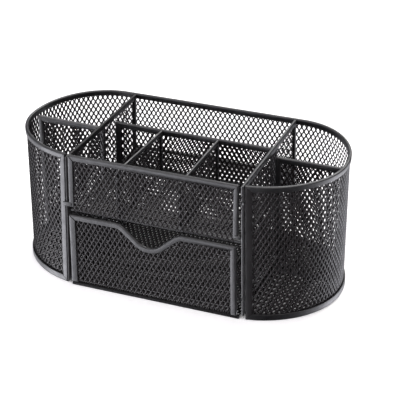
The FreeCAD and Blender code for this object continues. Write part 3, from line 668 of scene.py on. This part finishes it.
def below_wave(u, v):
    """Signed depth under the wave's line and the unit direction down from it."""
    a, b = wave_line[:-1], wave_line[1:]
    p = np.stack([u, v], -1)
    ab = b - a
    k = np.clip(np.einsum("nij,ij->ni", p[:, None, :] - a[None], ab) / np.sum(ab * ab, -1), 0, 1)
    q = a[None] + k[..., None] * ab[None]
    d = p[:, None, :] - q
    dist = np.linalg.norm(d, axis=-1)
    best = dist.argmin(1)
    row = np.arange(len(p))
    dd, dist = d[row, best], dist[row, best]
    seg = unit(ab)[best]
    down = np.stack([seg[:, 1], -seg[:, 0]], -1)
    side = np.sign(np.einsum("ij,ij->i", dd, down))
    side[side == 0] = 1.0
    way = np.where(dist[:, None] > 1e-6, dd / np.maximum(dist, 1e-9)[:, None] * side[:, None], down)
    return dist * side, way


def drawer_squeeze(u, v):
    win = np.array([(-53.75, 3.1), (54.94, 3.1), (52.76, 90.0), (-53.75, 90.0)])
    u, v = half_plane_squeeze(win, [0.5, 2.3, 9.0, 2.9])(u, v)
    depth, way = below_wave(u, v)
    over = 3.5 - depth
    move = np.where(over > 0, over - gather(over, 1.9), 0.0)
    return u + way[:, 0] * move, v + way[:, 1] * move


def drawer_keep(cu, cv, ru, rv):
    shape = ru.shape
    depth, way = below_wave(ru.ravel(), rv.ravel())
    ok = (depth.reshape(shape) > 3.3) & (ru > -53.95) & (ru < 55.2 - 0.025 * (rv - 2.7)) & (rv > 2.9)
    return ok.any(axis=1)


pts, faces, uv, count = lattice(drawer_keep, drawer_place, (-62.0, -3.0), (62.0, TOP + 4), FACE_CELL,
                                drifted(drawer_squeeze, 0.12, 11.0), phase=(0.2, 0.3),
                                bend=lambda u, v: (u - 0.042 * (v - 27.0), v + 0.012 * u))
put("drawer_front_mesh_skin", pts, faces, mesh_coat, "drawer", ["drawer_front_mesh"], uv=uv, sharp=None)

# -------------------------------------------------------------- drawer tray
TH, TF, TB, TU, TT = 55.9, -51.88, 46.0, 2.6, 36.8


def plain_sheet(name, place, win, rooms, node, body="drawer", phase=(0.0, 0.0), seed=1.0, flip=False, thick=0.32):
    win = np.asarray(win, float)
    pts, faces, uv, count = lattice(inside_window(win), place, win.min(0) - 4, win.max(0) + 4, FACE_CELL,
                                    drifted(half_plane_squeeze(win, rooms), 0.1, seed), phase=phase, flip=flip, thick=thick)
    put(name, pts, faces, mesh_coat, body, [node], uv=uv, sharp=None)


e = 0.55
plain_sheet("drawer_floor_skin", flat_place(TU + 0.4, DX), [(-TH + e, -52.48 + e), (TH - e, -52.48 + e), (TH - e, TB - e), (-TH + e, TB - e)],
            [e - 0.05] * 4, "drawer_floor_mesh", seed=12.0)
for side, x, s in (("left", -TH + 0.4, -1.0), ("right", TH - 0.4, 1.0)):
    plain_sheet("drawer_%s_side_skin" % side, side_place(x + DX, 1.0),
                [(TF + e, TU + 0.8 + e), (TB - e, TU + 0.8 + e), (TB - e, 34.7), (TF + e, 34.7)], [e - 0.05, e - 0.05, 1.6, e - 0.05],
                "drawer_%s_side_mesh" % side, seed=13.0 + s)
plain_sheet("drawer_back_skin", (lambda a, b, t: across_place(TB - 0.4)(np.asarray(a, float) + DX, b, t)),
            [(-TH + 0.8 + e, TU + 0.8 + e), (TH - 0.8 - e, TU + 0.8 + e), (TH - 0.8 - e, 34.7), (-TH + 0.8 + e, 34.7)],
            [e - 0.05, e - 0.05, 1.6, e - 0.05], "drawer_back_mesh", seed=15.0)

# rim of the tray: the strip's fold is at the top, the sheets go up into it
mid_x, mid_y = TH - 0.4, TB - 0.4 + SHIFT
line = [np.array([-mid_x + DX, TF + SHIFT]), np.array([-mid_x + DX, mid_y]), np.array([mid_x + DX, mid_y]), np.array([mid_x + DX, TF + SHIFT])]
P, T, sec = [], [], []
base, bn = u_section(3.0, 2.0, gap=0.88, floor=0.95)
normals = [np.array([1.0, 0.0]), np.array([0.0, -1.0]), np.array([-1.0, 0.0])]
dirs = [np.array([0.0, 1.0]), np.array([1.0, 0.0]), np.array([0.0, -1.0])]
for k in range(4):
    if k == 0:
        rings = [(line[0], normals[0], 0.08), (line[0] + dirs[0] * 0.08, normals[0], 0.0)]
    elif k == 3:
        rings = [(line[3] - dirs[2] * 0.08, normals[2], 0.0), (line[3], normals[2], 0.08)]
    else:
        m = normals[k - 1] + normals[k]
        rings = [(line[k] - dirs[k - 1] * SEAM, m, 0.0), (line[k], m, GROOVE), (line[k] + dirs[k] * SEAM, m, 0.0)]
    for p, m, shrink in rings:
        P.append((p[0], p[1], 37.6))
        T.append((m[0], m[1], 0.0))
        sec.append(base - bn * shrink)
S = np.tile((0.0, 0.0, -1.0), (len(P), 1))
v, f = sweep(P, S, T, np.array(sec))
put("drawer_tray_rim_skin", v, f, strip_coat, "drawer", ["drawer_tray_rim"])


# ------------------------------------------------- shell, trims and rims
def outline_at(z, inset=0.0):
    w = 1.0 - z / 95.0

    def mix(top, low):
        return top * (1.0 - w) + low * w
    a = mix(111.0, 111.3)
    bx, by = mix(46.1, 52.0), 54.0
    fx, fy = mix(61.1, 59.0), mix(52.4, 54.2)
    return a, bx, by, fx, fy


def curve(z, inset, end_right, end_left, n=260):
    """Points of the plan curve from the front right round the back to the
    front left, evenly spaced."""
    a, bx, by, fx, fy = outline_at(z)
    c, cf = a - bx, a - fx
    bx, by, fx, fy = bx - inset, by - inset, fx - inset, fy - inset
    tr = -math.acos(max(-1.0, min(1.0, (end_right - cf) / fx)))
    tl = math.pi + math.acos(max(-1.0, min(1.0, (end_left - cf) / fx)))
    k = np.linspace(0, 1, 400)
    t1 = tr + (0 - tr) * k
    t2 = math.pi / 2 * k
    t3 = math.pi / 2 + math.pi / 2 * k
    t4 = math.pi + (tl - math.pi) * k
    pts = np.concatenate([
        np.stack([cf + fx * np.cos(t1), fy * np.sin(t1)], -1),
        np.stack([c + bx * np.cos(t2), by * np.sin(t2)], -1),
        np.stack([-c + bx * np.cos(t3), by * np.sin(t3)], -1),
        np.stack([-cf + fx * np.cos(t4), fy * np.sin(t4)], -1)])
    pts[:, 1] += SHIFT
    step = np.linalg.norm(np.diff(pts, axis=0), axis=1)
    pts = pts[np.concatenate([[True], step > 1e-6])]
    s = np.concatenate([[0], np.cumsum(np.linalg.norm(np.diff(pts, axis=0), axis=1))])
    at = np.linspace(0, s[-1], n)
    return np.stack([np.interp(at, s, pts[:, 0]), np.interp(at, s, pts[:, 1])], -1), s[-1]


def trim_in(z):
    return 61.7 - 2.0 * z / 95.0 + 1.3


def shell_mid_inset(z):
    return 1.0 + (0.8 - 1.0) * (z - 0.8) / 93.4 + 0.4


LEVELS = np.linspace(0.0, 95.0, 20)
COLS = 900
table = []
for z in LEVELS:
    e0 = trim_in(z) + 1.0
    table.append(curve(z, shell_mid_inset(z), e0, e0, COLS)[0])
table = np.array(table)
LENGTH = curve(47.5, shell_mid_inset(47.5), trim_in(47.5) + 1.0, trim_in(47.5) + 1.0)[1]
tang = unit(np.gradient(table, axis=1))
outn = np.stack([tang[..., 1], -tang[..., 0]], -1)


def shell_place(u, v, t):
    fx = np.clip(u / LENGTH, 0, 1) * (COLS - 1)
    fz = np.clip(v / 95.0, 0, 1) * (len(LEVELS) - 1)
    i, j = np.minimum(fx.astype(int), COLS - 2), np.minimum(fz.astype(int), len(LEVELS) - 2)
    a, b = (fx - i)[:, None], (fz - j)[:, None]

    def look(tb):
        return (tb[j, i] * (1 - a) + tb[j, i + 1] * a) * (1 - b) + (tb[j + 1, i] * (1 - a) + tb[j + 1, i + 1] * a) * b
    p, n = look(table), unit(look(outn))
    q = p + n * np.asarray(t)[:, None]
    return np.concatenate([q, np.asarray(v, float)[:, None]], -1)


def shell_bend(u, v):
    """The rows do not run quite level round the shell."""
    return u, v + np.interp(u, [0.0, 70.0, 160.0, 240.0, 330.0, LENGTH], [-1.6, 1.55, 1.55, 0.35, -1.9, 1.7])


win = np.array([(2.3, 4.6), (LENGTH - 2.3, 4.6), (LENGTH - 2.3, 91.2), (2.3, 91.2)])
cols = round(LENGTH / SHELL_CELL[0])
pts, faces, uv, count = lattice(inside_window(win), shell_place, win.min(0) - 4, win.max(0) + 4, (LENGTH / cols, SHELL_CELL[1]),
                                drifted(half_plane_squeeze(win, [2.4, 1.9, 2.0, 1.9]), 0.12, 17.0), phase=(0.0, 0.7),
                                bend=shell_bend, open_share=0.60, tilt=-0.22)
shell_tiles = count
put("shell_mesh_skin", pts, faces, mesh_coat, "root", ["shell_mesh"], uv=uv, sharp=None)

LEFT_WIDE, RIGHT_WIDE = 4.1, 4.6


def front_point(z, x_abs, sgn, inset=0.0):
    a, bx, by, fx, fy = outline_at(z)
    cf = a - fx
    c = (x_abs - cf) / (fx - inset)
    return np.array([sgn * x_abs, SHIFT - (fy - inset) * math.sqrt(max(0.0, 1 - c * c)), z])


for side, sgn, wide in (("left", -1.0, LEFT_WIDE), ("right", 1.0, RIGHT_WIDE)):
    base, bn = u_section(wide, 2.4, floor=0.95)
    P, S, T, sec = [], [], [], []
    zs = [(0.0, 4.5, GROOVE), (SEAM, 4.5, 0.0)] + [(z, 0.0, 0.0) for z in (12.0, 30.0, 50.0, 70.0, 84.0)] + [(95.0 - SEAM, -3.7, 0.0), (95.0, -3.7, GROOVE)]
    for z, slant, shrink in zs:
        p, q = front_point(z, trim_in(z), sgn), front_point(z, trim_in(z) + wide, sgn)
        s = (q - p) / wide
        t = unit(np.array([-s[1], s[0], 0.0]))
        t = t if t[1] > 0 else -t
        P.append(p + t * 1.2)
        S.append(s + np.array([0, 0, slant / wide]))
        T.append(t)
        sec.append(base - bn * shrink)
    v, f = sweep(P, S, T, np.array(sec))
    # the right end trim wears the painted-shade copy of the strip coat
    put(side + "_end_trim_skin", v, f, shaded_strip_coat if side == "right" else strip_coat, "root", [side + "_end_trim"])


def rim(name, node, z, band, thick, up, n=300):
    """A rim along the whole plan curve, mitred to the end trims."""
    er, el = trim_in(z) + RIGHT_WIDE, trim_in(z) + LEFT_WIDE
    line, total = curve(z, 0.0, er, el, n)
    tg = unit(np.gradient(line, axis=0))
    inw = np.stack([-tg[:, 1], tg[:, 0]], -1)
    base, bn = u_section(band, thick, floor=1.0, taper=0.06)
    P, S, T, sec = [], [], [], []

    def add(p, s, t, shrink):
        P.append(p)
        S.append(s)
        T.append(t)
        sec.append(base - bn * shrink)
    for k in range(n):
        t = np.array([inw[k, 0], inw[k, 1], 0.0])
        p = np.array([line[k, 0], line[k, 1], z]) + t * thick / 2
        s = np.array([0.0, 0.0, up])
        if k in (0, n - 1):
            sgn, wide = (1.0, RIGHT_WIDE) if k == 0 else (-1.0, LEFT_WIDE)
            tip = front_point(z, trim_in(z), sgn)
            butt = front_point(z, trim_in(z) + wide, sgn)
            pt = tip + t * thick / 2
            st = (butt - tip) / band + s
            along = unit(butt - tip)
            order = [(pt, st, t, GROOVE), (pt + along * SEAM, st, t, 0.0)]
            for q in (order if k == 0 else order[::-1]):
                add(*q)
        else:
            add(p, s, t, 0.0)
    v, f = sweep(P, S, T, np.array(sec))
    put(name, v, f, strip_coat, "root", [node])


rim("top_rim_skin", "top_rim", 95.0, 3.7, 2.4, -1.0)
rim("bottom_rim_skin", "bottom_rim", 0.0, 4.5, 2.8, 1.0)

# ---------------------------------------------------------------- floor mesh
edge_line = curve(0.0, 2.9, 65.5, 65.5, 240)[0]
yl, yf, yn = -52.7 + SHIFT, -52.0 + SHIFT, -47.5 + SHIFT
loop = np.concatenate([edge_line, [(-65.5, yn), (-59.0, yn), (-59.0, yl), (59.0, yf), (59.0, yn), (65.5, yn)]])


def in_loop(u, v):
    inside = np.zeros(u.shape, bool)
    a, b = loop, np.roll(loop, -1, 0)
    for (x0, y0), (x1, y1) in zip(a, b):
        if y0 == y1:
            continue
        hit = ((y0 > v) != (y1 > v)) & (u < (x1 - x0) * (v - y0) / (y1 - y0) + x0)
        inside ^= hit
    return inside


def loop_squeeze(u, v, room=0.9):
    a, b = loop, np.roll(loop, -1, 0)
    ab = b - a
    p = np.stack([u, v], -1)
    out = np.empty_like(p)
    for s in range(0, len(p), 4000):
        q = p[s:s + 4000]
        k = np.clip(np.einsum("nij,ij->ni", q[:, None, :] - a[None], ab) / np.maximum(np.sum(ab * ab, -1), 1e-12), 0, 1)
        near = a[None] + k[..., None] * ab[None]
        d = q[:, None, :] - near
        dist = np.linalg.norm(d, axis=-1)
        best = dist.argmin(1)
        row = np.arange(len(q))
        dd, dist = d[row, best], dist[row, best]
        inside = in_loop(q[:, 0], q[:, 1])
        sign = np.where(inside, 1.0, -1.0)
        way = dd / np.maximum(dist, 1e-9)[:, None] * sign[:, None]
        depth = dist * sign
        over = room - depth
        move = np.where(over > 0, over - gather(over, room - 0.05), 0.0)
        out[s:s + 4000] = q + way * move[:, None]
    return out[:, 0], out[:, 1]


def floor_keep(cu, cv, ru, rv):
    return in_loop(ru.ravel(), rv.ravel()).reshape(ru.shape).any(axis=1)


pts, faces, uv, count = lattice(floor_keep, flat_place(1.8 - 0.0), (-112, -56), (112, 56), FACE_CELL,
                                (lambda u, v: tuple(np.asarray(q) - s for q, s in zip(loop_squeeze(u, v + SHIFT), (0.0, SHIFT)))),
                                open_share=0.54)
# the floor mesh wears the painted-shade coat
put("base_mesh_skin", pts, faces, low_shade_coat, "root", ["base_mesh"], uv=uv, sharp=None)


def rail_place(a, b, t):
    c, s = math.cos(math.radians(0.34)), math.sin(math.radians(0.34))
    a, b, t = np.asarray(a, float) + 59.0, np.asarray(b, float) + 54.9, np.asarray(t, float)
    return np.stack([-59.0 + a * c - b * s, -54.9 + SHIFT + a * s + b * c, t], -1)


v, f = bar(rail_place, -59.0, 59.0, -54.9, -52.7, 0.0, 2.2, r=0.7, steps=5)
# the front rail wears the painted-shade coat
put("base_front_rail_skin", v, f, low_shade_coat, "root", ["base_front_rail"])

# ---------------------------------------------------------- floor and light
fm = bpy.data.meshes.new("table_top")
R = 6.0
fm.from_pydata([(-R, -R, 0), (R, -R, 0), (R, R, 0), (-R, R, 0)], [], [(0, 1, 2, 3)])
floor = bpy.data.objects.new("table_top", fm)
bpy.context.scene.collection.objects.link(floor)
fmat = bpy.data.materials.new("table_white")
fmat.use_nodes = True
fb = fmat.node_tree.nodes["Principled BSDF"]
fb.inputs["Base Color"].default_value = (0.97, 0.97, 0.97, 1.0)
fb.inputs["Roughness"].default_value = 0.9
fb.inputs["Specular IOR Level"].default_value = 0.1
fb.inputs["Emission Color"].default_value = (1.0, 1.0, 1.0, 1.0)
fb.inputs["Emission Strength"].default_value = 0.07
fm.materials.append(fmat)
floor.visible_glossy = False  # the coat mirrors the soft panels, not the white table


def toward(az, el):
    """Direction from the object to a light: azimuth from the front, positive
    to the right, and height in degrees."""
    a, e = math.radians(az), math.radians(el)
    return Vector((math.sin(a) * math.cos(e), -math.cos(a) * math.cos(e), math.sin(e)))


def far_light(name, az, el, power, spread, colour=(1.0, 1.0, 1.0)):
    """A wide soft light far away, its strength on a facing surface in W/m2."""
    data = bpy.data.lights.new(name, "SUN")
    data.energy = power
    data.angle = math.radians(spread)
    data.color = colour
    o = bpy.data.objects.new(name, data)
    bpy.context.scene.collection.objects.link(o)
    o.rotation_euler = toward(az, el).to_track_quat("Z", "Y").to_euler()
    return o


far_light("overhead", 0.0, 86.0, 2.4, 80.0, (1.02, 0.99, 1.0))
far_light("behind", 180.0, 45.0, 2.3, 34.0)
far_light("upper_left", -45.0, 45.0, 0.6, 34.0, (0.98, 0.98, 1.05))
far_light("upper_right", 45.0, 45.0, 0.8, 34.0, (1.02, 0.99, 1.0))
far_light("left", -90.0, 18.0, 0.5, 34.0, (0.98, 0.98, 1.05))

# soft panels that only show as gloss, most of them low on the left
GLOWS = [(-60.0, -30.0, 0.84), (-30.0, -30.0, 0.22), (-30.0, -5.0, 0.46), (-90.0, -30.0, 0.11), (-120.0, -30.0, 0.11),
         (-150.0, -5.0, 0.16), (90.0, -30.0, 0.10), (120.0, -30.0, 0.54), (150.0, -30.0, 0.21), (90.0, -5.0, 0.22),
         (-30.0, 18.0, 0.08)]
GLOW_RADIANCE = 8.8
world = bpy.data.worlds.new("studio")
bpy.context.scene.world = world
world.use_nodes = True
world.cycles.sampling_method = "NONE"
wt = world.node_tree
wt.nodes.clear()
wo = wt.nodes.new("ShaderNodeOutputWorld")
where = wt.nodes.new("ShaderNodeTexCoord")
ray = wt.nodes.new("ShaderNodeVectorMath")
ray.operation = "NORMALIZE"
wt.links.new(where.outputs["Generated"], ray.inputs[0])
total = None
for az, el, weight in GLOWS:
    dot = wt.nodes.new("ShaderNodeVectorMath")
    dot.operation = "DOT_PRODUCT"
    wt.links.new(ray.outputs["Vector"], dot.inputs[0])
    dot.inputs[1].default_value = toward(az, el)
    soft = wt.nodes.new("ShaderNodeMapRange")
    soft.interpolation_type = "SMOOTHSTEP"
    soft.inputs["From Min"].default_value = math.cos(math.radians(26.0))
    soft.inputs["From Max"].default_value = math.cos(math.radians(8.0))
    soft.inputs["To Min"].default_value = 0.0
    soft.inputs["To Max"].default_value = weight * GLOW_RADIANCE
    wt.links.new(dot.outputs["Value"], soft.inputs["Value"])
    if total is None:
        total = soft.outputs["Result"]
    else:
        add = wt.nodes.new("ShaderNodeMath")
        add.operation = "ADD"
        wt.links.new(total, add.inputs[0])
        wt.links.new(soft.outputs["Result"], add.inputs[1])
        total = add.outputs["Value"]
glow = wt.nodes.new("ShaderNodeBackground")
glow.inputs["Color"].default_value = (0.98, 0.98, 1.05, 1.0)
wt.links.new(total, glow.inputs["Strength"])
plain = wt.nodes.new("ShaderNodeBackground")
plain.inputs["Color"].default_value = (1.0, 1.0, 1.0, 1.0)
plain.inputs["Strength"].default_value = 1.0
seen = wt.nodes.new("ShaderNodeLightPath")
choice = wt.nodes.new("ShaderNodeMixShader")
wt.links.new(seen.outputs["Is Camera Ray"], choice.inputs["Fac"])
wt.links.new(glow.outputs["Background"], choice.inputs[1])
wt.links.new(plain.outputs["Background"], choice.inputs[2])
wt.links.new(choice.outputs["Shader"], wo.inputs["Surface"])

bpy.context.scene.view_settings.view_transform = "Standard"
bpy.context.scene.view_settings.look = "None"
bpy.context.scene.view_settings.exposure = 0.0
bpy.context.scene.view_settings.gamma = 1.0

# ---------------------------------------------------------------------- camera
az, el, roll, dist = 0.3821360794623847, 0.4951139243177052, -0.005279646819852894, 0.88236174
target = np.array([0.01103248, 0.00045, 0.04999494])
back = np.array([math.sin(az) * math.cos(el), -math.cos(az) * math.cos(el), math.sin(el)])
fwd = -back
right = unit(np.cross(fwd, Z))
up = np.cross(right, fwd)
r2 = right * math.cos(roll) + up * math.sin(roll)
u2 = -right * math.sin(roll) + up * math.cos(roll)
at = target + back * dist
cam_data = bpy.data.cameras.new("photo_view")
cam_data.sensor_width = 36.0
cam_data.lens = 1324.6264829 / 400.0 * 36.0
cam_data.clip_start = 0.05
cam_data.clip_end = 50.0
cam = bpy.data.objects.new("photo_view", cam_data)
bpy.context.scene.collection.objects.link(cam)
cam.matrix_world = Matrix((
    (r2[0], u2[0], back[0], at[0]),
    (r2[1], u2[1], back[1], at[1]),
    (r2[2], u2[2], back[2], at[2]),
    (0.0, 0.0, 0.0, 1.0)))
bpy.context.scene.camera = cam

bpy.context.view_layer.update()
